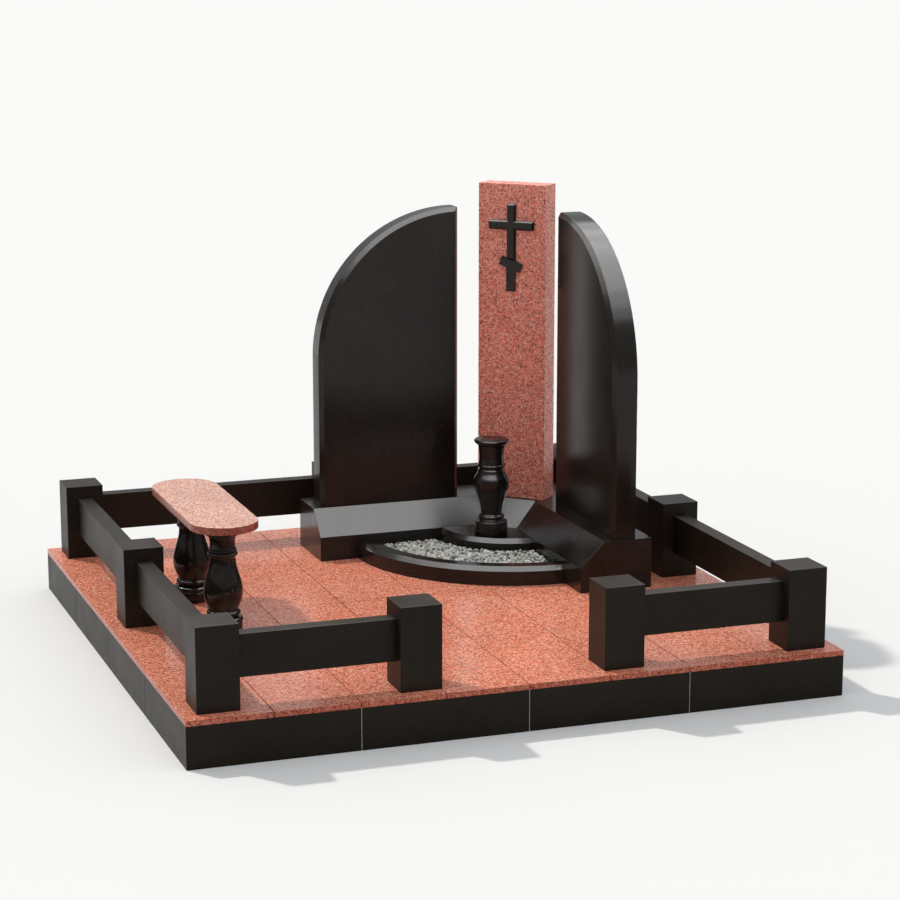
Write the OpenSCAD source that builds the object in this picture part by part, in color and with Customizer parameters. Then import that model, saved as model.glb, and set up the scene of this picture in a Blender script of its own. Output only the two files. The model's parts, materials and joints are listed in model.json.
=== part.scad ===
// Granite family grave memorial: a paved plot on a black kerb, a post-and-rail
// surround with an entrance, a bench, and a corner headstone group of two
// round-shouldered stelae and a red pillar around a quarter-round pebble bed.
// +Z is up, the entrance is on the -Y side, and the origin is on the ground
// under the middle of the plot.

/* [Paving and kerb] */
// Paving slab size across the plot, left to right
slab_width = 300; // [250:10:450]
// Paving slab size from front to back
slab_length = 600; // [500:10:900]
// Paving slab thickness
slab_thickness = 20; // [15:1:40]
// Joint between slabs
joint_gap = 3; // [2:0.5:6]
// Height of the kerb above the ground
kerb_height = 150; // [100:5:300]
// Thickness of the kerb slabs
kerb_thickness = 50; // [30:5:80]

/* [Surround] */
// Side of the square posts
post_side = 150; // [100:5:200]
// Height of the posts
post_height = 300; // [250:10:500]
// Distance from the plot edge to the posts
post_margin = 50; // [20:5:100]
// Clear width of the entrance
entrance_width = 601; // [450:1:900]
// Thickness of the rails
rail_thickness = 60; // [40:5:100]
// Height of the rails
rail_height = 150; // [80:5:180]
// Clear height under the rails
rail_clearance = 100; // [40:5:120]

/* [Headstone bases] */
// Depth of the bases
base_depth = 300; // [260:10:400]
// Height of the bases
base_height = 200; // [160:10:300]
// Slope at the front of the bases, the same across and up
base_slope = 100; // [60:5:120]
// Distance from the bases to the right edge of the plot
base_right_gap = 298; // [250:1:400]
// Distance from the bases to the back edge of the plot
base_back_gap = 287; // [250:1:400]
// Depth of the 45 degree face that fills the inner corner
corner_face_depth = 83; // [60:1:110]

/* [Stelae] */
// Width of each stele, which is also the radius of its shoulder
stele_width = 600; // [450:10:720]
// Height of each stele
stele_height = 1215; // [900:5:1500]
// Thickness of each stele
stele_thickness = 100; // [60:5:120]
// Chamfer around the face of each stele
stele_chamfer = 17; // [8:1:25]
// Distance from the left stele to the inner corner of the bases
stele_corner_gap = 174; // [120:1:320]
// Left stele, distance in from the end of its base
left_stele_inset = 36; // [0:1:80]
// Left stele, distance behind the top of the slope
left_stele_setback = 9; // [0:1:40]
// Right stele, distance in from the end of its base
right_stele_inset = 11; // [0:1:80]
// Right stele, distance behind the top of the slope
right_stele_setback = 34; // [0:1:60]

/* [Pillar and cross] */
// Width of the pillar
pillar_width = 300; // [220:5:360]
// Thickness of the pillar
pillar_thickness = 100; // [60:5:120]
// Height of the pillar
pillar_height = 1310; // [1000:10:1600]
// Distance from the top of the corner face to the pillar
pillar_setback = 25; // [5:1:40]
// Height of the cross
cross_height = 360; // [250:5:500]
// Distance from the top of the cross down to its upper bar, as a share of its height
cross_bar_drop = 0.244; // [0.15:0.001:0.35]
// Distance from the top of the cross down to its slanted bar, as a share of its height
foot_bar_drop = 0.689; // [0.6:0.001:0.8]
// Width of the upper bar of the cross
cross_width = 200; // [150:5:210]
// Width of the short slanted bar
foot_bar_width = 96; // [70:2:130]
// Slant of the lower bar
foot_bar_angle = 19; // [10:1:35]
// Width of the bars of the cross
cross_bar = 37; // [25:1:50]
// Thickness of the cross
cross_thickness = 15; // [8:1:25]
// Distance from the top of the pillar to the cross
cross_top_gap = 80; // [50:5:200]

/* [Pebble bed] */
// Outer radius of the quarter-round bed kerb
bed_radius = 650; // [560:10:780]
// Thickness of the bed kerb
bed_kerb_thickness = 70; // [40:5:100]
// Height of the bed kerb
bed_kerb_height = 75; // [60:5:120]
// Chamfer on the bed kerb and on the vase stand
bed_chamfer = 18; // [8:1:25]
// Height of the pebbles above the paving
pebble_height = 66; // [40:1:100]
// Radius of the quarter-round vase stand
stand_radius = 300; // [260:5:360]
// Clearance of the pebbles all round
pebble_clearance = 0.3; // [0.2:0.1:1]

/* [Vase] */
// Height of the vase
vase_height = 400; // [300:10:500]
// Greatest radius of the vase
vase_radius = 73; // [55:1:80]
// Radius of the bore in the vase
vase_bore_radius = 36; // [25:1:38]
// Rounding at the mouth of the bore
vase_mouth = 12; // [4:1:14]
// Thickness of the vase floor
vase_floor = 120; // [60:5:160]
// Vase centre, distance left of the inner corner of the bases
vase_left_offset = 130; // [120:1:180]
// Vase centre, distance in front of the inner corner of the bases
vase_front_offset = 166; // [120:1:180]

/* [Bench] */
// Width of the bench seat
bench_width = 254; // [220:2:400]
// Length of the bench seat
bench_length = 842; // [650:2:1000]
// Thickness of the bench seat
bench_thickness = 30; // [20:5:60]
// Height of the bench legs
bench_leg_height = 400; // [300:10:450]
// Greatest radius of the bench legs
bench_leg_radius = 73; // [55:1:90]
// Distance between the leg centres
bench_leg_spacing = 475; // [350:5:560]
// Distance from the front end of the seat to the front leg centre
bench_leg_setback = 149; // [110:1:200]
// Bench centre line, distance from the left edge of the plot
bench_left = 383; // [340:1:500]
// Front end of the seat, distance from the front edge of the plot
bench_front = 826; // [500:2:1000]

/* [Hidden] */
$fn = 96;

// Plot, worked out from the paving
rows = 8;
slabs_per_row = 4;
row_pitch = slab_width + joint_gap;
slab_pitch = slab_length + joint_gap + joint_gap;
plot_width = rows * row_pitch - joint_gap;
plot_depth = slabs_per_row * slab_pitch - joint_gap;
floor_z = kerb_height + slab_thickness;
mortar_recess = 1;

// Positions of the posts, by their front left corners
post_near = post_margin;
post_far_x = plot_width - post_margin - post_side;
post_far_y = plot_depth - post_margin - post_side;
post_mid_x = (plot_width - post_side) / 2;
post_mid_y = (plot_depth - post_side) / 2;
entrance_left_x = (plot_width - entrance_width) / 2 - post_side;
entrance_right_x = (plot_width + entrance_width) / 2;

// Headstone group: outer corner, inner corner and top of the bases
outer_x = plot_width - base_right_gap;
outer_y = plot_depth - base_back_gap;
inner_x = outer_x - base_depth;
inner_y = outer_y - base_depth;
base_length = left_stele_inset + stele_width + stele_corner_gap + base_depth;
base_top = floor_z + base_height;
base_step = base_height - base_slope;
stand_top = floor_z + base_step;

// Places the plot around the origin
module on_plot() {
    translate([-plot_width / 2, -plot_depth / 2, 0]) children();
}

// Places the headstone group: x and y run back from the inner corner of the bases
module at_inner_corner(z) {
    on_plot() translate([inner_x, inner_y, z]) children();
}

// Swaps left and right of the diagonal, for the right base and stele
module across_diagonal() {
    mirror([1, -1, 0]) children();
}

// Points on an arc, from one angle to another
function arc(cx, cy, r, from, to, steps) =
    [for (i = [0 : steps]) let (a = from + (to - from) * i / steps) [cx + r * cos(a), cy + r * sin(a)]];

// ---- ground and kerb ----

// Concrete bed that carries the paving, with mortar in the kerb joints
module foundation() {
    color("silver") on_plot() {
        translate([kerb_thickness, kerb_thickness, 0])
            cube([plot_width - 2 * kerb_thickness, plot_depth - 2 * kerb_thickness, kerb_height]);
        for (i = [1 : slabs_per_row - 1]) {
            translate([i * plot_width / slabs_per_row - joint_gap / 2, mortar_recess, 0])
                cube([joint_gap, plot_depth - 2 * mortar_recess, kerb_height]);
            translate([mortar_recess, i * plot_depth / slabs_per_row - joint_gap / 2, 0])
                cube([plot_width - 2 * mortar_recess, joint_gap, kerb_height]);
        }
    }
}

// Kerb slab along the front or the back, number i from the left
module kerb_across(i, y) {
    start = i == 0 ? 0 : i * plot_width / slabs_per_row + joint_gap / 2;
    end = i == slabs_per_row - 1 ? plot_width : (i + 1) * plot_width / slabs_per_row - joint_gap / 2;
    color([0.08, 0.07, 0.07]) on_plot()
        translate([start, y, 0]) cube([end - start, kerb_thickness, kerb_height]);
}

// Kerb slab along the left or the right, number i from the front
module kerb_along(i, x) {
    start = i == 0 ? kerb_thickness : i * plot_depth / slabs_per_row + joint_gap / 2;
    end = i == slabs_per_row - 1
        ? plot_depth - kerb_thickness
        : (i + 1) * plot_depth / slabs_per_row - joint_gap / 2;
    color([0.08, 0.07, 0.07]) on_plot()
        translate([x, start, 0]) cube([kerb_thickness, end - start, kerb_height]);
}

// One row of paving slabs, front to back, number i from the left
module paving_row(i) {
    color([0.86, 0.52, 0.45]) on_plot()
        for (j = [0 : slabs_per_row - 1])
            translate([i * row_pitch, j * slab_pitch, kerb_height])
                cube([slab_width, slab_pitch - joint_gap, slab_thickness]);
}

// ---- surround ----

module post(x, y) {
    color([0.10, 0.09, 0.09]) on_plot()
        translate([x, y, floor_z]) cube([post_side, post_side, post_height]);
}

// Rail along X between the posts that start at x1 and x2, in the row of posts at y
module rail_across(x1, x2, y) {
    color([0.08, 0.07, 0.07]) on_plot()
        translate([x1 + post_side, y + (post_side - rail_thickness) / 2, floor_z + rail_clearance])
            cube([x2 - x1 - post_side, rail_thickness, rail_height]);
}

// Rail along Y between the posts that start at y1 and y2, in the row of posts at x
module rail_along(y1, y2, x) {
    color([0.08, 0.07, 0.07]) on_plot()
        translate([x + (post_side - rail_thickness) / 2, y1 + post_side, floor_z + rail_clearance])
            cube([rail_thickness, y2 - y1 - post_side, rail_height]);
}

// ---- bench ----

// Outline of a turned leg, with heights as shares of the leg
function leg_outline(h, r) = concat(
    [[0, 0], [r * 0.95, 0], [r * 0.95, h * 0.10]],
    arc(r * 0.84, h * 0.128, h * 0.028, -60, 90, 6),
    [[r * 0.74, h * 0.156], [r * 0.74, h * 0.170]],
    arc(r * 0.74, h * 0.193, h * 0.023, -90, 90, 8),
    [[r * 0.73, h * 0.225]],
    [for (t = [0 : 6 : 90]) [r * (0.73 + 0.27 * sin(t)), h * (0.225 + 0.165 * t / 90)]],
    [for (t = [10 : 10 : 180]) [r * (0.83 + 0.17 * cos(t)), h * (0.390 + 0.310 * t / 180)]],
    [[r * 0.66, h * 0.718], [r * 0.70, h * 0.728]],
    arc(r * 0.67, h * 0.748, h * 0.020, -70, 90, 7),
    [[r * 0.66, h * 0.772]],
    arc(r * 0.66, h * 0.784, h * 0.012, -80, 90, 6),
    [[r * 0.63, h * 0.802], [r * 0.63, h * 0.825]],
    [for (t = [0 : 10 : 90]) [r * (0.63 + 0.17 * (1 - cos(t))), h * (0.825 + 0.100 * sin(t))]],
    arc(r * 0.80, h * 0.945, h * 0.020, -90, 90, 7),
    [[r * 0.78, h * 0.965], [r * 0.78, h], [0, h]]);

module bench_leg(offset) {
    color([0.07, 0.07, 0.07]) on_plot()
        translate([bench_left, bench_front + bench_leg_setback + offset, floor_z])
            rotate_extrude() polygon(leg_outline(bench_leg_height, bench_leg_radius));
}

// Seat slab with fully rounded ends
module bench_seat() {
    end = bench_width / 2;
    color([0.92, 0.75, 0.69]) on_plot()
        translate([bench_left, bench_front, floor_z + bench_leg_height])
            union() {
                translate([0, end, 0]) cylinder(h = bench_thickness, r = end);
                translate([0, bench_length - end, 0]) cylinder(h = bench_thickness, r = end);
                translate([-end, end, 0]) cube([bench_width, bench_length - 2 * end, bench_thickness]);
            }
}

// ---- headstone bases ----

// Left half of the corner: x runs right and y runs back from the inner corner. The
// front runs along y = 0, then turns 45 degrees to the mitre on the diagonal, x = y.
module base_body() {
    end = base_depth - base_length;
    turn = -corner_face_depth * sqrt(2);
    upper_turn = turn + base_slope * (sqrt(2) - 1);
    upper_mitre = (turn + base_slope * sqrt(2)) / 2;
    foot = [
        [end, 0, 0], [turn, 0, 0], [turn / 2, turn / 2, 0],
        [base_depth, base_depth, 0], [end, base_depth, 0]];
    slope_foot = [for (p = [foot[0], foot[1], foot[2]]) [p.x, p.y, base_step]];
    top = [
        [end, base_slope, base_height], [upper_turn, base_slope, base_height],
        [upper_mitre, upper_mitre, base_height],
        [base_depth, base_depth, base_height], [end, base_depth, base_height]];
    polyhedron(
        points = concat(foot, slope_foot, top),
        faces = [
            [0, 1, 4], [1, 3, 4], [1, 2, 3],
            [12, 9, 8], [12, 11, 9], [11, 10, 9],
            [5, 6, 1, 0], [6, 7, 2, 1], [8, 9, 6, 5], [9, 10, 7, 6],
            [7, 10, 11, 3, 2], [11, 12, 4, 3], [12, 8, 5, 0, 4]]);
}

// Base under the left stele, mitred where the two bases meet
module base_left() {
    color([0.10, 0.09, 0.09]) at_inner_corner(floor_z) base_body();
}

// Base under the right stele, the mirror image
module base_right() {
    color([0.10, 0.09, 0.09]) at_inner_corner(floor_z) across_diagonal() base_body();
}

// ---- stelae ----

// Plan of a stele with its face at y = 0 and both of its upright edges chamfered
module stele_plan() {
    polygon([
        [stele_chamfer, 0], [stele_width - stele_chamfer, 0], [stele_width, stele_chamfer],
        [stele_width, stele_thickness], [0, stele_thickness], [0, stele_chamfer]]);
}

// Stele with its foot at the origin, its shoulder on the left and its face at y = 0
module stele() {
    shoulder_z = stele_height - stele_width;
    intersection() {
        linear_extrude(stele_height) stele_plan();
        union() {
            cube([stele_width, stele_thickness, shoulder_z]);
            translate([stele_width, 0, shoulder_z]) rotate([-90, 0, 0]) {
                cylinder(h = stele_chamfer, r1 = stele_width - stele_chamfer, r2 = stele_width, $fn = 192);
                translate([0, 0, stele_chamfer])
                    cylinder(h = stele_thickness - stele_chamfer, r = stele_width, $fn = 192);
            }
        }
    }
}

module stele_left() {
    color([0.10, 0.09, 0.09]) at_inner_corner(base_top)
        translate([base_depth - base_length + left_stele_inset, base_slope + left_stele_setback, 0])
            stele();
}

module stele_right() {
    color([0.10, 0.09, 0.09]) at_inner_corner(base_top) across_diagonal()
        translate([base_depth - base_length + right_stele_inset, base_slope + right_stele_setback, 0])
            stele();
}

// ---- pillar and cross ----

// Places a thing on the diagonal: its x runs along the pillar's face, its y runs back
module at_pillar(z) {
    back = -corner_face_depth + base_slope + pillar_setback;
    at_inner_corner(z) rotate([0, 0, -45]) translate([0, back, 0]) children();
}

module pillar() {
    color([0.72, 0.38, 0.34]) at_pillar(base_top)
        translate([-pillar_width / 2, 0, 0]) cube([pillar_width, pillar_thickness, pillar_height]);
}

// A bar of the cross, centred at x = 0 and z = 0
module cross_piece(width, height) {
    translate([-width / 2, -cross_thickness, -height / 2]) cube([width, cross_thickness, height]);
}

// Upright, upper bar and short bar whose right end is the lower one
module cross() {
    top = base_top + pillar_height - cross_top_gap;
    color([0.05, 0.05, 0.05]) at_pillar(top) union() {
        translate([0, 0, -cross_height / 2]) cross_piece(cross_bar, cross_height);
        translate([0, 0, -cross_height * cross_bar_drop]) cross_piece(cross_width, cross_bar);
        translate([0, 0, -cross_height * foot_bar_drop]) rotate([0, foot_bar_angle, 0])
            cross_piece(foot_bar_width, cross_bar);
    }
}

// ---- pebble bed ----

// Turns a section, drawn outwards from the inner corner, into a quarter ring
module quarter_round() {
    at_inner_corner(floor_z) rotate([0, 0, 180]) rotate_extrude(angle = 90, $fn = 192) children();
}

module bed_kerb() {
    inside = bed_radius - bed_kerb_thickness;
    color([0.12, 0.10, 0.10]) quarter_round() polygon([
        [inside, 0], [bed_radius, 0], [bed_radius, bed_kerb_height - bed_chamfer],
        [bed_radius - bed_chamfer, bed_kerb_height], [inside, bed_kerb_height]]);
}

// The pebbles as one bed, a little clear of the kerb, the stand and the bases
module pebbles() {
    inside = stand_radius + pebble_clearance;
    outside = bed_radius - bed_kerb_thickness - pebble_clearance;
    color([0.80, 0.80, 0.76]) difference() {
        quarter_round() translate([inside, 0]) square([outside - inside, pebble_height]);
        at_inner_corner(floor_z) {
            translate([-pebble_clearance, -bed_radius, -1])
                cube([1, bed_radius + 1, pebble_height + 2]);
            translate([-bed_radius, -pebble_clearance, -1])
                cube([bed_radius + 1, 1, pebble_height + 2]);
        }
    }
}

// Quarter-round slab that the vase stands on, cut to the face across the corner
module vase_stand() {
    color([0.12, 0.11, 0.11]) difference() {
        quarter_round() polygon([
            [0, 0], [stand_radius, 0], [stand_radius, base_step - bed_chamfer],
            [stand_radius - bed_chamfer, base_step], [0, base_step]]);
        at_inner_corner(floor_z) rotate([0, 0, -45])
            translate([-stand_radius, -corner_face_depth, -1])
                cube([2 * stand_radius, stand_radius, base_step + 2]);
    }
}

// Outer outline of the vase up to the lip, with heights as shares of the vase
function vase_outline(h, r) = concat(
    [[0, 0], [r * 0.92, 0], [r * 0.92, h * 0.118]],
    arc(r * 0.85, h * 0.135, h * 0.013, -60, 90, 5),
    [[r * 0.72, h * 0.153], [r * 0.70, h * 0.168]],
    arc(r * 0.64, h * 0.190, h * 0.019, -70, 90, 6),
    [[r * 0.60, h * 0.218]],
    [for (t = [0 : 10 : 180]) [r * (0.80 - 0.20 * cos(t)), h * (0.228 + 0.337 * t / 180)]],
    [for (t = [15 : 15 : 90]) [r * (1 - 0.26 * sin(t) * sin(t)), h * (0.565 + 0.110 * t / 90)]],
    [[r * 0.68, h * 0.690], [r * 0.68, h * 0.705]],
    arc(r * 0.73, h * 0.722, h * 0.012, -90, 90, 5),
    [for (t = [15 : 15 : 180]) [r * (0.72 - 0.04 * sin(t)), h * (0.740 + 0.150 * t / 180)]],
    [for (t = [15 : 15 : 90]) [r * (0.72 + 0.15 * (1 - cos(t))), h * (0.890 + 0.060 * sin(t))]],
    arc(r * 0.88, h * 0.978, h * 0.018, -60, 60, 6),
    [[r * 0.86, h]]);

// Turned vase with a straight bore and a rounded mouth
module vase() {
    color([0.06, 0.06, 0.06]) at_inner_corner(stand_top)
        translate([-vase_left_offset, -vase_front_offset, 0])
            rotate_extrude() polygon(concat(
                vase_outline(vase_height, vase_radius),
                arc(vase_bore_radius + vase_mouth, vase_height - vase_mouth, vase_mouth, 90, 180, 6),
                [[vase_bore_radius, vase_floor], [0, vase_floor]]));
}

foundation();
kerb_across(0, 0);  // kerb_front_1
kerb_across(1, 0);  // kerb_front_2
kerb_across(2, 0);  // kerb_front_3
kerb_across(3, 0);  // kerb_front_4
kerb_across(0, plot_depth - kerb_thickness);  // kerb_back_1
kerb_across(1, plot_depth - kerb_thickness);  // kerb_back_2
kerb_across(2, plot_depth - kerb_thickness);  // kerb_back_3
kerb_across(3, plot_depth - kerb_thickness);  // kerb_back_4
kerb_along(0, 0);  // kerb_left_1
kerb_along(1, 0);  // kerb_left_2
kerb_along(2, 0);  // kerb_left_3
kerb_along(3, 0);  // kerb_left_4
kerb_along(0, plot_width - kerb_thickness);  // kerb_right_1
kerb_along(1, plot_width - kerb_thickness);  // kerb_right_2
kerb_along(2, plot_width - kerb_thickness);  // kerb_right_3
kerb_along(3, plot_width - kerb_thickness);  // kerb_right_4
paving_row(0);  // paving_row_1
paving_row(1);  // paving_row_2
paving_row(2);  // paving_row_3
paving_row(3);  // paving_row_4
paving_row(4);  // paving_row_5
paving_row(5);  // paving_row_6
paving_row(6);  // paving_row_7
paving_row(7);  // paving_row_8
post(post_near, post_near);  // post_front_left
post(entrance_left_x, post_near);  // post_entrance_left
post(entrance_right_x, post_near);  // post_entrance_right
post(post_far_x, post_near);  // post_front_right
post(post_near, post_mid_y);  // post_left_middle
post(post_far_x, post_mid_y);  // post_right_middle
post(post_near, post_far_y);  // post_back_left
post(post_mid_x, post_far_y);  // post_back_middle
post(post_far_x, post_far_y);  // post_back_right
rail_across(post_near, entrance_left_x, post_near);  // rail_front_left
rail_across(entrance_right_x, post_far_x, post_near);  // rail_front_right
rail_along(post_near, post_mid_y, post_near);  // rail_left_front
rail_along(post_mid_y, post_far_y, post_near);  // rail_left_back
rail_along(post_near, post_mid_y, post_far_x);  // rail_right_front
rail_along(post_mid_y, post_far_y, post_far_x);  // rail_right_back
rail_across(post_near, post_mid_x, post_far_y);  // rail_back_left
rail_across(post_mid_x, post_far_x, post_far_y);  // rail_back_right
bench_leg(0);  // bench_leg_front
bench_leg(bench_leg_spacing);  // bench_leg_back
bench_seat();
base_left();
base_right();
stele_left();
stele_right();
pillar();
cross();
bed_kerb();
pebbles();
vase_stand();
vase();
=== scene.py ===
"""Looks of a granite grave memorial: every stone, the pebble bed, the stage and the camera."""
import json
import math
import random

import bmesh
import bpy
from bpy.props import FloatProperty, FloatVectorProperty, IntProperty, PointerProperty
from mathutils import Matrix, Vector, noise


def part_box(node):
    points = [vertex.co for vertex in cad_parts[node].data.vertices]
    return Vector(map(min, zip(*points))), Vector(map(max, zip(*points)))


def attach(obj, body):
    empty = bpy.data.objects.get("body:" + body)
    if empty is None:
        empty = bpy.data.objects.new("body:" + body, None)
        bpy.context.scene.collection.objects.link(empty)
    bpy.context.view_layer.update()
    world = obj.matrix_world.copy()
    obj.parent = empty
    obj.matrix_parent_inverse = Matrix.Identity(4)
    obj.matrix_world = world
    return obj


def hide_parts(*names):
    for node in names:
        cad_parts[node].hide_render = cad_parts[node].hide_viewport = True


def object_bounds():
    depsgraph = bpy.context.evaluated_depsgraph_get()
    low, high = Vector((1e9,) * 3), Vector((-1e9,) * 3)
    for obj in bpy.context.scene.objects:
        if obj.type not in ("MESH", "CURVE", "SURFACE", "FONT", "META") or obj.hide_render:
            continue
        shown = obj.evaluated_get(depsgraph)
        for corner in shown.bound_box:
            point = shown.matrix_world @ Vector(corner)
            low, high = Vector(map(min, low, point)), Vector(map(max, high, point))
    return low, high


bl_info = {
    "name": "Granite Grave Memorial",
    "version": (1, 0, 0),
    "blender": (4, 5, 0),
    "location": "3D View > Sidebar > Memorial",
    "description": "Dresses the stones of a grave memorial and sets its stage",
    "category": "Object",
}

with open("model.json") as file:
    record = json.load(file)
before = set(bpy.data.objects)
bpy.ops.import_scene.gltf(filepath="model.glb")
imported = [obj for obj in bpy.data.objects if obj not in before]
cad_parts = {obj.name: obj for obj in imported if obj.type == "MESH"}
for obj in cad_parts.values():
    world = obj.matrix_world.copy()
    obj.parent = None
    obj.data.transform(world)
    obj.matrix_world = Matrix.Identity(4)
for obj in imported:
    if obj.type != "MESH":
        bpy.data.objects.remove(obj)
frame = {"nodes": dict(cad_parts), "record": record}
CAD_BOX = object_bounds()
SLOTS = {part["node"]: part["material_slot"] for part in frame["record"]["subparts"]}

# How the stones' meshes are read and shaded
WELD = 2e-6  # corners closer than this are one
FLAT_ANGLE = math.radians(0.4)  # faces that meet flatter than this are one
SOFT_ANGLE = math.radians(9)  # edges flatter than this are shaded smooth
QUIRK_ANGLE = math.radians(55)  # turned edges steeper than this stay crisp
QUIRK_CREASE = 0.85
CHIP_ANGLE = math.radians(30)  # edges of a chip steeper than this stay crisp

# How the chips lie: the drops and the room are in chip radii, the rest in spacings
BED_DROP = 1.9
LAYER_DROPS = (1.75, 0.95)
CHIP_ROOM = 1.12
CHIP_JITTER = 0.3
ROW_PITCH = 0.87
BED_GAP = 0.001  # metres between the bed's body and the stones round it
BED_RINGS = 6
BED_STEPS = 24
CHIP_FLATS = 6
DARK_SHARE = 0.22

# Stage, in metres
FLOOR_REACH = 160
FLOOR_GAP = 0.0005
SOFTBOX_WIDTHS = (7.0, 10.5, 15.0)
SOFTBOX_PLACE = (0.4, -0.6, 6.2)
SOFTBOX_STEP = 0.1
SUN_HEADING = (0.51, -0.665, -1.0)
SUN_WIDTH = math.radians(2)
CAMERA_PLACE = (-3.0025, -8.8205, 2.740)


# ---- settings ----

class MemorialStone(bpy.types.PropertyGroup):
    """Colours and polish of the stones."""

    black_colour: FloatVectorProperty(
        name="Black granite", description="Ground colour of the polished black granite",
        subtype="COLOR", min=0, max=1, default=(0.0140, 0.0108, 0.0086))
    satin_colour: FloatVectorProperty(
        name="Satin black granite", description="Ground colour of the honed black granite",
        subtype="COLOR", min=0, max=1, default=(0.0108, 0.0074, 0.0040))
    fleck_gain: FloatProperty(
        name="Fleck", description="How much paler the mineral flecks are than their ground",
        min=1, max=8, default=2.6)
    black_roughness: FloatProperty(
        name="Black polish", description="Roughness of the polished black faces",
        min=0.02, max=0.6, default=0.17)
    satin_roughness: FloatProperty(
        name="Satin polish", description="Roughness of the honed black faces",
        min=0.02, max=0.8, default=0.40)
    red_roughness: FloatProperty(
        name="Red polish", description="Roughness of the polished red faces",
        min=0.02, max=0.6, default=0.20)
    grain_size: FloatProperty(
        name="Grain size", description="Size of the crystals in the red granite",
        subtype="DISTANCE", unit="LENGTH", min=0.002, max=0.02, default=0.0052)
    mortar_colour: FloatVectorProperty(
        name="Mortar", description="Colour of the mortar and the concrete",
        subtype="COLOR", min=0, max=1, default=(0.50, 0.46, 0.39))


class MemorialArris(bpy.types.PropertyGroup):
    """Widths of the small worked edges."""

    post: FloatProperty(
        name="Posts and rails", description="Arris on the posts and the rails",
        subtype="DISTANCE", unit="LENGTH", min=0.0005, max=0.006, default=0.0020)
    kerb: FloatProperty(
        name="Kerb", description="Arris on the kerb slabs",
        subtype="DISTANCE", unit="LENGTH", min=0.0005, max=0.006, default=0.0012)
    paving: FloatProperty(
        name="Paving", description="Arris on the paving slabs",
        subtype="DISTANCE", unit="LENGTH", min=0.0005, max=0.004, default=0.0008)
    headstone: FloatProperty(
        name="Headstone group", description="Arris on the bases, the stelae and the pillar",
        subtype="DISTANCE", unit="LENGTH", min=0.0005, max=0.006, default=0.0012)
    cross: FloatProperty(
        name="Cross", description="Chamfer on the bars of the cross",
        subtype="DISTANCE", unit="LENGTH", min=0.001, max=0.010, default=0.0055)
    seat: FloatProperty(
        name="Bench seat", description="Rounding on the edge of the bench seat",
        subtype="DISTANCE", unit="LENGTH", min=0.001, max=0.012, default=0.0040)


class MemorialPebbles(bpy.types.PropertyGroup):
    """The chips in the quarter-round bed."""

    spacing: FloatProperty(
        name="Spacing", description="Distance between neighbouring chips",
        subtype="DISTANCE", unit="LENGTH", min=0.008, max=0.04, default=0.0182)
    radius: FloatProperty(
        name="Radius", description="Mean radius of a chip",
        subtype="DISTANCE", unit="LENGTH", min=0.004, max=0.02, default=0.0100)
    seed: IntProperty(
        name="Seed", description="Changes how the chips fall", min=0, max=999, default=7)
    pale: FloatVectorProperty(
        name="Pale chips", description="Colour of the palest chips",
        subtype="COLOR", min=0, max=1, default=(0.92, 0.92, 0.84))
    dark: FloatVectorProperty(
        name="Dark chips", description="Colour of the darkest chips",
        subtype="COLOR", min=0, max=1, default=(0.08, 0.08, 0.07))


class MemorialStage(bpy.types.PropertyGroup):
    """Floor, light and camera."""

    floor_colour: FloatVectorProperty(
        name="Floor", description="Colour of the floor as it is seen",
        subtype="COLOR", min=0, max=1, default=(0.95, 0.95, 0.95))
    floor_bounce: FloatVectorProperty(
        name="Floor bounce", description="Colour of the light that the floor sends back up",
        subtype="COLOR", min=0, max=1, default=(0.55, 0.53, 0.50))
    sky_low: FloatProperty(
        name="Low sky", description="Strength of the even light at the horizon",
        min=0, max=2, default=0.38)
    sky_high: FloatProperty(
        name="High sky", description="Strength of the even light overhead",
        min=0, max=2, default=0.80)
    sun_strength: FloatProperty(
        name="Sun", description="Strength of the light from the back left",
        min=0, max=6, default=1.55)
    softbox_power: FloatProperty(
        name="Softbox", description="Power of the smallest softbox whose reflection lies on the polish",
        subtype="POWER", min=0, max=6000, default=390)
    azimuth: FloatProperty(
        name="Azimuth", description="Heading of the view, clockwise from +Y",
        subtype="ANGLE", default=math.radians(19.61))
    elevation: FloatProperty(
        name="Elevation", description="Downward tilt of the view",
        subtype="ANGLE", default=math.radians(12.07))
    lens: FloatProperty(
        name="Lens", description="Focal length in millimetres", min=20, max=300, default=99.44)


# ---- shader helpers ----

def blank_material(name):
    """A material with a Principled shader; returns it with its nodes, its linker and the shader."""
    material = bpy.data.materials.new(name)
    material.use_nodes = True
    nodes = material.node_tree.nodes
    return material, nodes, material.node_tree.links.new, nodes["Principled BSDF"]


def stone_coordinates(nodes, link, wobble, scale):
    """Object coordinates, nudged by noise so that crystals have crooked outlines."""
    place = nodes.new("ShaderNodeTexCoord")
    drift = nodes.new("ShaderNodeTexNoise")
    drift.inputs["Scale"].default_value = scale
    drift.inputs["Detail"].default_value = 2
    link(place.outputs["Object"], drift.inputs["Vector"])
    centred = nodes.new("ShaderNodeVectorMath")
    centred.operation = "SUBTRACT"
    centred.inputs[1].default_value = (0.5, 0.5, 0.5)
    link(drift.outputs["Color"], centred.inputs[0])
    nudge = nodes.new("ShaderNodeVectorMath")
    nudge.operation = "MULTIPLY_ADD"
    nudge.inputs[1].default_value = (wobble, wobble, wobble)
    link(centred.outputs["Vector"], nudge.inputs[0])
    link(place.outputs["Object"], nudge.inputs[2])
    return place.outputs["Object"], nudge.outputs["Vector"]


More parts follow.
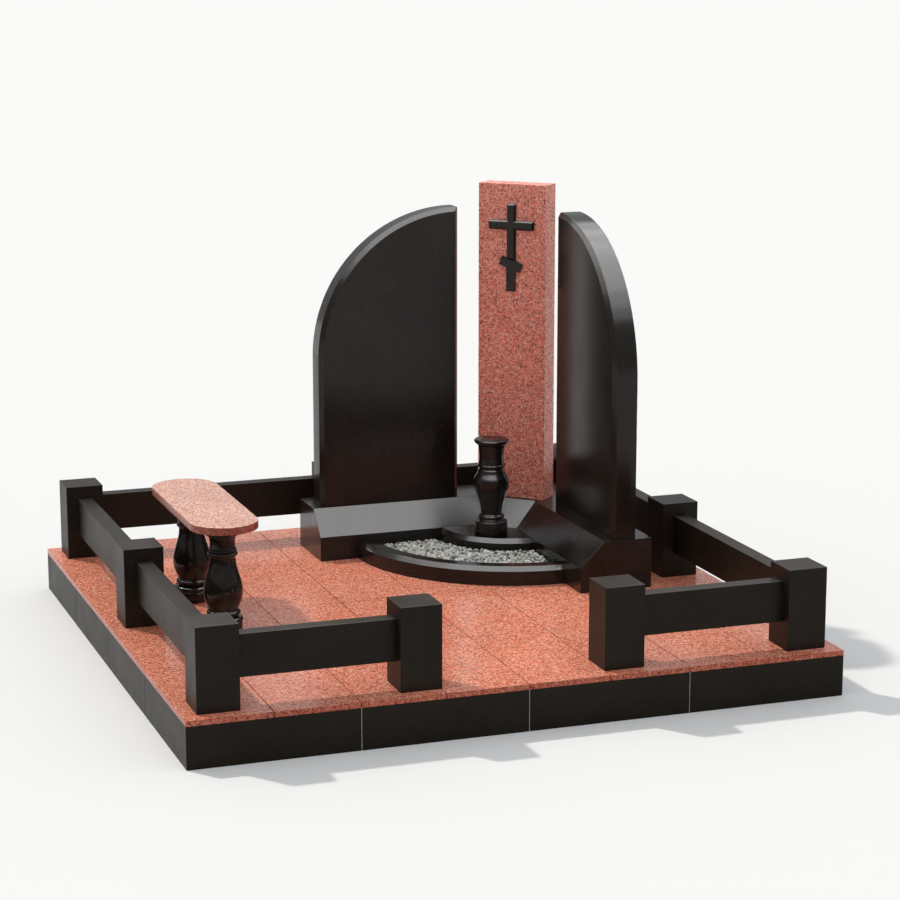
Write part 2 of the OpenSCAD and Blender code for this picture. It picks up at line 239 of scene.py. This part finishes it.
def colour_steps(nodes, link, value, steps, interpolation="CONSTANT"):
    """A ramp from (position, colour) pairs."""
    ramp = nodes.new("ShaderNodeValToRGB")
    ramp.color_ramp.interpolation = interpolation
    points = ramp.color_ramp.elements
    points.remove(points[1])
    points[0].position = steps[0][0]
    points[0].color = (*steps[0][1], 1)
    for position, colour in steps[1:]:
        points.new(position).color = (*colour, 1)
    link(value, ramp.inputs["Fac"])
    return ramp.outputs["Color"]


def span(nodes, link, value, low, high, source=(0.0, 1.0)):
    """A value moved from one range to another."""
    ranger = nodes.new("ShaderNodeMapRange")
    ranger.inputs["From Min"].default_value = source[0]
    ranger.inputs["From Max"].default_value = source[1]
    ranger.inputs["To Min"].default_value = low
    ranger.inputs["To Max"].default_value = high
    link(value, ranger.inputs["Value"])
    return ranger.outputs["Result"]


def texture(nodes, link, kind, vector, scale, detail=2.0):
    """A noise or Voronoi texture at so many features to the metre."""
    made = nodes.new(kind)
    made.inputs["Scale"].default_value = scale
    made.inputs["Detail"].default_value = detail
    link(vector, made.inputs["Vector"])
    return made


def blend_colours(nodes, link, factor, first, second, mode="MIX"):
    """Two colours mixed by a factor; each may be a socket or a plain colour."""
    mix = nodes.new("ShaderNodeMix")
    mix.data_type = "RGBA"
    mix.blend_type = mode
    for socket, value in ((mix.inputs[0], factor), (mix.inputs[6], first), (mix.inputs[7], second)):
        if isinstance(value, bpy.types.NodeSocket):
            link(value, socket)
        elif isinstance(value, (int, float)):
            socket.default_value = value
        else:
            socket.default_value = (*value, 1)
    return mix.outputs[2]


def relief(nodes, link, shader, height, strength, distance):
    """Bump from a height."""
    bump = nodes.new("ShaderNodeBump")
    bump.inputs["Strength"].default_value = strength
    bump.inputs["Distance"].default_value = distance
    link(height, bump.inputs["Height"])
    link(bump.outputs["Normal"], shader.inputs["Normal"])


# ---- stone finishes ----

def black_granite(name, stone, colour, roughness, gloss):
    """Black granite with very fine flecks, polished or honed."""
    material, nodes, link, shader = blank_material(name)
    place, crooked = stone_coordinates(nodes, link, 0.0015, 300)
    crystal = texture(nodes, link, "ShaderNodeTexVoronoi", crooked, 420, 0)
    shade = nodes.new("ShaderNodeSeparateColor")
    link(crystal.outputs["Color"], shade.inputs["Color"])
    dark = tuple(colour)
    middle = tuple(c * (1 + stone.fleck_gain) / 2.4 for c in dark)
    fleck = tuple(c * stone.fleck_gain for c in dark)
    grains = colour_steps(nodes, link, shade.outputs["Red"], (
        (0.0, dark), (0.60, tuple(c * 0.7 for c in dark)), (0.84, middle), (0.95, fleck)))
    cloud = texture(nodes, link, "ShaderNodeTexNoise", place, 5, 4)
    depth = span(nodes, link, cloud.outputs["Fac"], 0.75, 1.3, (0.3, 0.7))
    link(blend_colours(nodes, link, 1.0, grains, depth, "MULTIPLY"), shader.inputs["Base Color"])
    haze = texture(nodes, link, "ShaderNodeTexNoise", place, 9, 5)
    polish = span(nodes, link, haze.outputs["Fac"], roughness * 0.93, roughness * 1.08, (0.3, 0.7))
    link(polish, shader.inputs["Roughness"])
    swell = texture(nodes, link, "ShaderNodeTexNoise", place, 14, 1)
    relief(nodes, link, shader, swell.outputs["Fac"], 0.05, 0.0004)
    shader.inputs["Specular IOR Level"].default_value = gloss
    return material


def red_granite(name, stone, tones, roughness, slab_shift=0.0, painted_side_shade=None):
    """Polished red granite: tones are (share, colour) pairs from the darkest crystal to the palest; the
    optional side colour is painted shade, multiplied into the faces that turn away from facing up.
    """
    material, nodes, link, shader = blank_material(name)
    place, crooked = stone_coordinates(nodes, link, stone.grain_size * 0.5, 0.9 / stone.grain_size)
    crystal = texture(nodes, link, "ShaderNodeTexVoronoi", crooked, 1 / stone.grain_size, 0)
    shade = nodes.new("ShaderNodeSeparateColor")
    link(crystal.outputs["Color"], shade.inputs["Color"])
    start, steps = 0.0, []
    for share, colour in tones:
        steps.append((start, colour))
        start += share
    grains = colour_steps(nodes, link, shade.outputs["Red"], steps)
    speck = texture(nodes, link, "ShaderNodeTexVoronoi", crooked, 1.7 / stone.grain_size, 0)
    speck_shade = nodes.new("ShaderNodeSeparateColor")
    link(speck.outputs["Color"], speck_shade.inputs["Color"])
    mica = colour_steps(nodes, link, speck_shade.outputs["Red"], (
        (0.0, (0.50, 0.46, 0.44)), (0.10, (1.0, 1.0, 1.0)), (0.92, (1.12, 1.22, 1.26))))
    grains = blend_colours(nodes, link, 1.0, grains, mica, "MULTIPLY")
    cluster = texture(nodes, link, "ShaderNodeTexNoise", place, 0.35 / stone.grain_size, 2)
    mottle = span(nodes, link, cluster.outputs["Fac"], 0.92, 1.08, (0.35, 0.65))
    grains = blend_colours(nodes, link, 1.0, grains, mottle, "MULTIPLY")
    cloud = texture(nodes, link, "ShaderNodeTexNoise", place, 3.5, 4)
    drift = span(nodes, link, cloud.outputs["Fac"], 0.93, 1.07, (0.3, 0.7))
    grains = blend_colours(nodes, link, 1.0, grains, drift, "MULTIPLY")
    if slab_shift:
        island = nodes.new("ShaderNodeAttribute")
        island.attribute_name = "slab_tone"
        tone = span(nodes, link, island.outputs["Fac"], 1 - slab_shift, 1 + slab_shift)
        grains = blend_colours(nodes, link, 1.0, grains, tone, "MULTIPLY")
    # Painted shade: sides and undersides take the grain's colour times this colour, tops keep the grain's
    # colour, blended by how far each face turns from facing up.
    if painted_side_shade:
        facing = nodes.new("ShaderNodeNewGeometry")
        split = nodes.new("ShaderNodeSeparateXYZ")
        link(facing.outputs["True Normal"], split.inputs["Vector"])
        level = span(nodes, link, split.outputs["Z"], 0.0, 1.0, (0.25, 0.85))
        edges = blend_colours(nodes, link, 1.0, grains, painted_side_shade, "MULTIPLY")
        grains = blend_colours(nodes, link, level, edges, grains)
    link(grains, shader.inputs["Base Color"])
    pits = span(nodes, link, shade.outputs["Green"], roughness * 0.8, roughness * 1.35)
    link(pits, shader.inputs["Roughness"])
    relief(nodes, link, shader, shade.outputs["Blue"], 0.06, 0.0003)
    shader.inputs["Specular IOR Level"].default_value = 0.30
    return material


def rough_stone(name, colour, roughness, scale):
    """Matt stone or concrete with sandy grain."""
    material, nodes, link, shader = blank_material(name)
    place, crooked = stone_coordinates(nodes, link, 0.002, scale)
    sand = texture(nodes, link, "ShaderNodeTexNoise", crooked, scale * 3, 5)
    darker = tuple(c * 0.72 for c in colour)
    paler = tuple(min(1, c * 1.18) for c in colour)
    tint = colour_steps(nodes, link, sand.outputs["Fac"], ((0.32, darker), (0.68, paler)), "LINEAR")
    link(tint, shader.inputs["Base Color"])
    link(span(nodes, link, sand.outputs["Fac"], roughness * 0.85, 1.0), shader.inputs["Roughness"])
    relief(nodes, link, shader, sand.outputs["Fac"], 0.5, 0.0015)
    shader.inputs["Specular IOR Level"].default_value = 0.3
    return material


def marble_chips(name):
    """Chips whose tone is stored in the mesh, with faint veins; the bed's body under them stores a
    near-black painted shade the same way.
    """
    material, nodes, link, shader = blank_material(name)
    stored = nodes.new("ShaderNodeAttribute")
    stored.attribute_name = "chip_tone"
    place, crooked = stone_coordinates(nodes, link, 0.004, 120)
    vein = texture(nodes, link, "ShaderNodeTexNoise", crooked, 260, 4)
    tint = span(nodes, link, vein.outputs["Fac"], 0.80, 1.12, (0.3, 0.7))
    link(blend_colours(nodes, link, 1.0, stored.outputs["Color"], tint, "MULTIPLY"),
         shader.inputs["Base Color"])
    link(span(nodes, link, vein.outputs["Fac"], 0.45, 0.75), shader.inputs["Roughness"])
    relief(nodes, link, shader, vein.outputs["Fac"], 0.35, 0.0012)
    shader.inputs["Specular IOR Level"].default_value = 0.35
    return material


def finish_for(slot, honed=False):
    """The material of a slot, made the first time that it is asked for."""
    name = slot + ("_honed" if honed else "_finish")
    known = bpy.data.materials.get(name)
    if known:
        return known
    stone = bpy.context.scene.memorial_stone
    if slot == "black_granite" and honed:
        return black_granite(name, stone, stone.satin_colour, stone.satin_roughness, 0.15)
    if slot == "black_granite":
        return black_granite(name, stone, stone.black_colour, stone.black_roughness, 0.25)
    if slot == "red_granite_paving":
        return red_granite(name, stone, (
            (0.12, (0.48, 0.100, 0.058)), (0.18, (0.74, 0.185, 0.105)), (0.36, (0.92, 0.285, 0.170)),
            (0.22, (0.96, 0.390, 0.255)), (0.12, (0.98, 0.560, 0.430))), stone.red_roughness, 0.05,
            # The paving's sides are darkened by this colour as painted shade.
            painted_side_shade=(0.66, 0.46, 0.40))
    if slot == "red_granite_pillar":
        return red_granite(name, stone, (
            (0.14, (0.42, 0.105, 0.072)), (0.20, (0.72, 0.200, 0.140)), (0.36, (0.93, 0.300, 0.220)),
            (0.20, (0.96, 0.400, 0.310)), (0.10, (0.97, 0.560, 0.460))), stone.red_roughness * 1.7)
    if slot == "red_granite_seat":
        return red_granite(name, stone, (
            (0.12, (0.50, 0.170, 0.115)), (0.18, (0.74, 0.310, 0.215)), (0.36, (0.93, 0.465, 0.345)),
            (0.22, (0.96, 0.580, 0.455)), (0.12, (0.97, 0.730, 0.620))), stone.red_roughness,
            # The seat's edges and sides are darkened by this colour as painted shade.
            painted_side_shade=(0.42, 0.21, 0.18))
    if slot == "pebbles":
        return marble_chips(name)
    if slot == "concrete":
        return rough_stone(name, tuple(stone.mortar_colour), 0.85, 60)
    raise ValueError(f"no finish is defined for the slot {slot!r}")


# ---- mesh helpers ----

def place_piece(name, mesh, node, honed=False):
    """Makes the object for a mesh, gives it the node's finish and puts it in the node's place."""
    piece = bpy.data.objects.new(name, mesh)
    bpy.context.scene.collection.objects.link(piece)
    mesh.materials.clear()
    mesh.materials.append(finish_for(SLOTS[node], honed))
    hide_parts(node)
    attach(piece, "root")
    return piece


def clean_stone(node):
    """A bmesh of the node's solid with its flat faces whole again."""
    work = bmesh.new()
    work.from_mesh(frame["nodes"][node].data)
    bmesh.ops.remove_doubles(work, verts=work.verts, dist=WELD)
    bmesh.ops.dissolve_limit(
        work, angle_limit=FLAT_ANGLE, verts=work.verts, edges=work.edges, delimit=set())
    return work


def worked_stone(node, arris, segments=2, corner=35.0, honed=False, curved=False):
    """The node's solid with its hard edges worked to an arris; a curved one is shaded smooth."""
    work = clean_stone(node)
    hard = [
        edge for edge in work.edges
        if len(edge.link_faces) == 2 and math.degrees(edge.calc_face_angle(0)) > corner]
    bmesh.ops.bevel(
        work, geom=hard, offset=arris,
        segments=segments, profile=0.6, affect="EDGES", clamp_overlap=True)
    for face in work.faces:
        face.smooth = curved
    for edge in work.edges:
        edge.smooth = len(edge.link_faces) != 2 or edge.calc_face_angle(0) < SOFT_ANGLE
    mesh = bpy.data.meshes.new(node + "_stone")
    work.to_mesh(mesh)
    work.free()
    return place_piece(node + "_stone", mesh, node, honed)


def turned_stone(node):
    """The node's turned solid with rounded swells and crisp quirks."""
    work = clean_stone(node)
    held = work.edges.layers.float.new("crease_edge")
    for edge in work.edges:
        if len(edge.link_faces) == 2 and edge.calc_face_angle(0) > QUIRK_ANGLE:
            edge[held] = QUIRK_CREASE
    for face in work.faces:
        face.smooth = True
    mesh = bpy.data.meshes.new(node + "_stone")
    work.to_mesh(mesh)
    work.free()
    piece = place_piece(node + "_stone", mesh, node)
    rounding = piece.modifiers.new("rounding", "SUBSURF")
    rounding.levels = rounding.render_levels = 1
    return piece


def nodes_named(start):
    """Every CAD node whose name starts that way; there is always one."""
    found = sorted(name for name in frame["nodes"] if name.startswith(start))
    if not found:
        raise RuntimeError(f"the frame has no node that starts with {start!r}")
    return found


# ---- operators: plot ----

class MEMORIAL_OT_foundation(bpy.types.Operator):
    """Dresses the concrete bed and the mortar in the kerb joints"""

    bl_idname = "memorial.foundation"
    bl_label = "Foundation"

    def execute(self, context):
        worked_stone("foundation", 0.0006, 1)
        return {"FINISHED"}


class MEMORIAL_OT_kerb(bpy.types.Operator):
    """Sets the black kerb slabs round the plot"""

    bl_idname = "memorial.kerb"
    bl_label = "Kerb"

    def execute(self, context):
        for node in nodes_named("kerb_"):
            worked_stone(node, context.scene.memorial_arris.kerb, honed=True)
        return {"FINISHED"}


class MEMORIAL_OT_paving(bpy.types.Operator):
    """Lays the red paving, each slab in a slightly different tone"""

    bl_idname = "memorial.paving"
    bl_label = "Paving"

    def execute(self, context):
        for number, node in enumerate(nodes_named("paving_row_")):
            row = worked_stone(node, context.scene.memorial_arris.paving)
            self.tone_slabs(row.data, number)
        return {"FINISHED"}

    @staticmethod
    def tone_slabs(mesh, number):
        """Stores one tone for each slab, found from how far back it lies."""
        dice = random.Random(31 + number)
        tones = [dice.random() for _ in range(4)]
        low, high = CAD_BOX[0].y, CAD_BOX[1].y
        stored = mesh.attributes.new("slab_tone", "FLOAT", "POINT")
        for vertex, value in zip(mesh.vertices, stored.data):
            share = (vertex.co.y - low) / (high - low)
            value.value = tones[min(3, int(share * 4))]


class MEMORIAL_OT_surround(bpy.types.Operator):
    """Stands the posts and fits the rails between them"""

    bl_idname = "memorial.surround"
    bl_label = "Posts and rails"

    def execute(self, context):
        for node in nodes_named("post_") + nodes_named("rail_"):
            worked_stone(node, context.scene.memorial_arris.post, honed=True)
        return {"FINISHED"}


# ---- operators: bench ----

class MEMORIAL_OT_bench(bpy.types.Operator):
    """Stands the turned legs and lays the seat on them"""

    bl_idname = "memorial.bench"
    bl_label = "Bench"

    def execute(self, context):
        for node in nodes_named("bench_leg_"):
            turned_stone(node)
        worked_stone("bench_seat", context.scene.memorial_arris.seat, 5, curved=True)
        return {"FINISHED"}


# ---- operators: headstone group ----

class MEMORIAL_OT_bases(bpy.types.Operator):
    """Sets the two sloped bases that meet in the corner"""

    bl_idname = "memorial.bases"
    bl_label = "Bases"

    def execute(self, context):
        for node in nodes_named("base_"):
            worked_stone(node, context.scene.memorial_arris.headstone)
        return {"FINISHED"}


class MEMORIAL_OT_stelae(bpy.types.Operator):
    """Stands the two round-shouldered stelae"""

    bl_idname = "memorial.stelae"
    bl_label = "Stelae"

    def execute(self, context):
        for node in nodes_named("stele_"):
            worked_stone(node, context.scene.memorial_arris.headstone, curved=True)
        return {"FINISHED"}


class MEMORIAL_OT_pillar(bpy.types.Operator):
    """Stands the red pillar across the corner"""

    bl_idname = "memorial.pillar"
    bl_label = "Pillar"

    def execute(self, context):
        worked_stone("pillar", context.scene.memorial_arris.headstone)
        return {"FINISHED"}


class MEMORIAL_OT_cross(bpy.types.Operator):
    """Fixes the chamfered cross to the pillar"""

    bl_idname = "memorial.cross"
    bl_label = "Cross"

    def execute(self, context):
        chamfer = context.scene.memorial_arris.cross
        outward = Vector((-1, -1, 0)).normalized()
        work = clean_stone("cross")
        front = max(
            work.faces, key=lambda face: (round(face.normal.dot(outward), 3), face.calc_area()))
        if front.normal.dot(outward) < 0.99:
            raise RuntimeError("the cross has no front face")
        bmesh.ops.translate(work, verts=front.verts, vec=-outward * chamfer)
        bmesh.ops.inset_region(
            work, faces=[front], thickness=chamfer, depth=chamfer, use_even_offset=True)
        mesh = bpy.data.meshes.new("cross_stone")
        work.to_mesh(mesh)
        work.free()
        place_piece("cross_stone", mesh, "cross")
        return {"FINISHED"}


# ---- operators: bed and vase ----

class MEMORIAL_OT_bed(bpy.types.Operator):
    """Sets the quarter-round kerb and the vase stand"""

    bl_idname = "memorial.bed"
    bl_label = "Bed kerb and stand"

    def execute(self, context):
        for node in ("bed_kerb", "vase_stand"):
            worked_stone(node, context.scene.memorial_arris.headstone, curved=True)
        return {"FINISHED"}


class MEMORIAL_OT_pebbles(bpy.types.Operator):
    """Fills the bed with marble chips"""

    bl_idname = "memorial.pebbles"
    bl_label = "Pebbles"

    def execute(self, context):
        settings = context.scene.memorial_pebbles
        low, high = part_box("pebbles")
        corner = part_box("vase_stand")[1]
        inside = corner.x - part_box("vase_stand")[0].x
        outside = corner.x - low.x
        bed = bmesh.new()
        tone = bed.verts.layers.float_color.new("chip_tone")
        top = high.z - BED_DROP * settings.radius
        self.pour_bed(bed, tone, corner, inside, outside, low.z, top, settings)
        self.scatter(bed, tone, corner, inside, outside, high.z, settings)
        mesh = bpy.data.meshes.new("pebble_bed")
        bed.to_mesh(mesh)
        bed.free()
        mesh.set_sharp_from_angle(angle=CHIP_ANGLE)
        place_piece("pebble_bed", mesh, "pebbles")
        return {"FINISHED"}

    @staticmethod
    def pour_bed(bed, tone, corner, inside, outside, bottom, top, settings):
        """The body of the bed under the loose chips, coloured near black as painted shade for the gaps
        between them.
        """
        rings, steps = BED_RINGS, BED_STEPS
        grid = []
        for level in (bottom, top):
            for ring in range(rings + 1):
                radius = inside + BED_GAP + (outside - inside - 2 * BED_GAP) * ring / rings
                for step in range(steps + 1):
                    angle = math.pi + math.pi / 2 * step / steps
                    vertex = bed.verts.new((
                        corner.x + min(radius * math.cos(angle), -BED_GAP),
                        corner.y + min(radius * math.sin(angle), -BED_GAP),
                        level))
                    # Painted shade: a small fraction (0.15) of the dark chip colour, so that the gaps
                    # between the chips read as shadow.
                    vertex[tone] = (*(c * 0.15 for c in settings.dark), 1)
                    grid.append(vertex)
        wide = steps + 1
        whole = (rings + 1) * wide

        def quad(a, b, c, d):
            bed.faces.new((grid[a], grid[b], grid[c], grid[d]))

        for ring in range(rings):
            for step in range(steps):
                a = ring * wide + step
                quad(a, a + wide, a + wide + 1, a + 1)
                quad(whole + a, whole + a + 1, whole + a + wide + 1, whole + a + wide)
        for step in range(steps):
            last = rings * wide + step
            quad(step, step + 1, whole + step + 1, whole + step)
            quad(last + 1, last, whole + last, whole + last + 1)
        for ring in range(rings):
            a = ring * wide
            b = a + steps
            quad(a + wide, a, whole + a, whole + a + wide)
            quad(b, b + wide, whole + b + wide, whole + b)

    def scatter(self, bed, tone, corner, inside, outside, top, settings):
        """Two layers of chips on a jittered grid."""
        dice = random.Random(settings.seed)
        ball = bmesh.new()
        bmesh.ops.create_icosphere(ball, subdivisions=2, radius=1)
        shape = [v.co.copy() for v in ball.verts]
        faces = [tuple(v.index for v in f.verts) for f in ball.faces]
        ball.free()
        gap = settings.spacing
        count = int(outside / gap) + 2
        for layer, drop in enumerate(LAYER_DROPS):
            for i in range(count):
                for j in range(count):
                    x = -(i + 0.5 * (j % 2) + 0.5 * layer + dice.uniform(-CHIP_JITTER, CHIP_JITTER)) * gap
                    y = -(j + 0.5 * layer + dice.uniform(-CHIP_JITTER, CHIP_JITTER)) * gap * ROW_PITCH
                    size = settings.radius * dice.uniform(0.72, 1.22)
                    turn = dice.uniform(0, math.tau)
                    spread = math.hypot(x, y)
                    room = size * CHIP_ROOM
                    if not (inside + room < spread < outside - room and x < -room and y < -room):
                        continue
                    height = top - settings.radius * drop - dice.uniform(0, 0.35) * settings.radius
                    self.drop_chip(bed, tone, shape, faces, Vector((corner.x + x, corner.y + y, height)),
                                   size, turn, dice, settings)

    @staticmethod
    def drop_chip(bed, tone, shape, faces, spot, size, turn, dice, settings):
        """One broken chip: a ball squashed, turned and cut by a few flats."""
        flats = []
        for _ in range(CHIP_FLATS):
            way = Vector((dice.gauss(0, 1), dice.gauss(0, 1), dice.gauss(0, 1))).normalized()
            flats.append((way, dice.uniform(0.55, 0.85)))
        squash = Vector((1.0, dice.uniform(0.68, 0.92), dice.uniform(0.5, 0.68)))
        tilt = Matrix.Rotation(turn, 3, "Z") @ Matrix.Rotation(dice.uniform(-0.35, 0.35), 3, "X")
        if dice.random() < DARK_SHARE:
            share = 0.12 * dice.random()
        else:
            share = 0.45 + 0.55 * dice.random()
        warm = dice.uniform(-0.02, 0.03)
        colour = [d + (p - d) * share for d, p in zip(settings.dark, settings.pale)]
        colour = (colour[0] + warm, colour[1], colour[2] - warm, 1)
        made = []
        for point in shape:
            cut = point.copy()
            for way, reach in flats:
                over = cut.dot(way) - reach
                if over > 0:
                    cut -= way * over
            cut *= 1 + 0.07 * noise.noise(point * 2.3 + Vector((turn, size * 900, 0)))
            flattened = Vector((cut.x * squash.x, cut.y * squash.y, cut.z * squash.z))
            vertex = bed.verts.new(spot + tilt @ flattened * size)
            vertex[tone] = colour
            made.append(vertex)
        for face in faces:
            bed.faces.new([made[k] for k in face]).smooth = True


class MEMORIAL_OT_vase(bpy.types.Operator):
    """Stands the turned, hollow vase on its stand"""

    bl_idname = "memorial.vase"
    bl_label = "Vase"

    def execute(self, context):
        turned_stone("vase")
        return {"FINISHED"}


# ---- operator: stage ----

class MEMORIAL_OT_stage(bpy.types.Operator):
    """Lays the floor, hangs the lights and sets up the camera"""

    bl_idname = "memorial.stage"
    bl_label = "Stage"

    def execute(self, context):
        settings = context.scene.memorial_stage
        self.lay_floor(context, settings)
        self.light_sky(context, settings)
        self.hang_lights(context, settings)
        self.set_camera(context, settings)
        context.scene.view_settings.view_transform = "Standard"
        return {"FINISHED"}

    @staticmethod
    def lay_floor(context, settings):
        """A plain pale floor that runs past the edge of the view."""
        work = bmesh.new()
        bmesh.ops.create_grid(work, x_segments=1, y_segments=1, size=FLOOR_REACH)
        mesh = bpy.data.meshes.new("floor")
        work.to_mesh(mesh)
        work.free()
        material, nodes, link, shader = blank_material("floor")
        path = nodes.new("ShaderNodeLightPath")
        seen = path.outputs["Is Camera Ray"]
        for other in ("Is Glossy Ray", "Is Transmission Ray"):
            either = nodes.new("ShaderNodeMath")
            either.operation = "MAXIMUM"
            link(seen, either.inputs[0])
            link(path.outputs[other], either.inputs[1])
            seen = either.outputs["Value"]
        shown = blend_colours(
            nodes, link, seen, tuple(settings.floor_bounce), tuple(settings.floor_colour))
        link(shown, shader.inputs["Base Color"])
        shader.inputs["Roughness"].default_value = 0.9
        shader.inputs["Specular IOR Level"].default_value = 0.0
        mesh.materials.append(material)
        floor = bpy.data.objects.new("floor", mesh)
        floor.location.z = CAD_BOX[0].z - FLOOR_GAP
        context.scene.collection.objects.link(floor)

    @staticmethod
    def light_sky(context, settings):
        """Even light from all round, stronger overhead."""
        world = bpy.data.worlds.new("studio")
        world.use_nodes = True
        nodes, link = world.node_tree.nodes, world.node_tree.links.new
        heading = nodes.new("ShaderNodeTexCoord")
        split = nodes.new("ShaderNodeSeparateXYZ")
        link(heading.outputs["Generated"], split.inputs["Vector"])
        height = span(nodes, link, split.outputs["Z"], settings.sky_low, settings.sky_high)
        link(height, nodes["Background"].inputs["Strength"])
        nodes["Background"].inputs["Color"].default_value = (0.95, 0.98, 1.0, 1)
        context.scene.world = world

    @staticmethod
    def hang_lights(context, settings):
        """Nested softboxes overhead that show in the polish, and a light from the back left."""
        x, y, z = SOFTBOX_PLACE
        for number, width in enumerate(SOFTBOX_WIDTHS):
            softbox = bpy.data.lights.new(f"softbox_{number}", "AREA")
            softbox.shape = "DISK"
            softbox.size = width
            softbox.energy = settings.softbox_power * (width / SOFTBOX_WIDTHS[0]) ** 2
            hung = bpy.data.objects.new(f"softbox_{number}", softbox)
            hung.location = (x, y, z + SOFTBOX_STEP * number)
            hung.visible_camera = False
            hung.visible_diffuse = False
            context.scene.collection.objects.link(hung)
        sun = bpy.data.lights.new("back_left_light", "SUN")
        sun.energy = settings.sun_strength
        sun.color = (1.0, 0.95, 0.87)
        sun.angle = SUN_WIDTH
        risen = bpy.data.objects.new("back_left_light", sun)
        risen.rotation_euler = Vector(SUN_HEADING).to_track_quat("-Z", "Y").to_euler()
        context.scene.collection.objects.link(risen)

    @staticmethod
    def set_camera(context, settings):
        """The view from the front left, a little above the stelae."""
        lens = bpy.data.cameras.new("camera")
        lens.lens = settings.lens
        lens.sensor_width = 36
        lens.clip_end = 500
        camera = bpy.data.objects.new("camera", lens)
        camera.location = CAMERA_PLACE
        camera.rotation_euler = (math.pi / 2 - settings.elevation, 0, -settings.azimuth)
        context.scene.collection.objects.link(camera)
        context.scene.camera = camera


STEPS = (
    MEMORIAL_OT_foundation, MEMORIAL_OT_kerb, MEMORIAL_OT_paving, MEMORIAL_OT_surround,
    MEMORIAL_OT_bench, MEMORIAL_OT_bases, MEMORIAL_OT_stelae, MEMORIAL_OT_pillar,
    MEMORIAL_OT_cross, MEMORIAL_OT_bed, MEMORIAL_OT_pebbles, MEMORIAL_OT_vase, MEMORIAL_OT_stage,
)
GROUPS = {
    "memorial_stone": MemorialStone,
    "memorial_arris": MemorialArris,
    "memorial_pebbles": MemorialPebbles,
    "memorial_stage": MemorialStage,
}


class MEMORIAL_PT_panel(bpy.types.Panel):
    """Lists the steps that dress the memorial, with their settings"""

    bl_idname = "MEMORIAL_PT_panel"
    bl_label = "Grave memorial"
    bl_space_type = "VIEW_3D"
    bl_region_type = "UI"
    bl_category = "Memorial"

    def draw(self, context):
        for step in STEPS:
            self.layout.operator(step.bl_idname)
        for name, group in GROUPS.items():
            box = self.layout.box()
            for field in group.__annotations__:
                box.prop(getattr(context.scene, name), field)


def register():
    """Adds the settings, the operators and the panel."""
    for name, group in GROUPS.items():
        bpy.utils.register_class(group)
        setattr(bpy.types.Scene, name, PointerProperty(type=group))
    for step in STEPS:
        bpy.utils.register_class(step)
    bpy.utils.register_class(MEMORIAL_PT_panel)


def unregister():
    """Takes them away again."""
    bpy.utils.unregister_class(MEMORIAL_PT_panel)
    for step in reversed(STEPS):
        bpy.utils.unregister_class(step)
    for name, group in GROUPS.items():
        delattr(bpy.types.Scene, name)
        bpy.utils.unregister_class(group)


def main():
    """Builds the whole scene."""
    register()
    for step in STEPS:
        group, name = step.bl_idname.split(".")
        getattr(getattr(bpy.ops, group), name)()


if __name__ == "__main__":
    main()
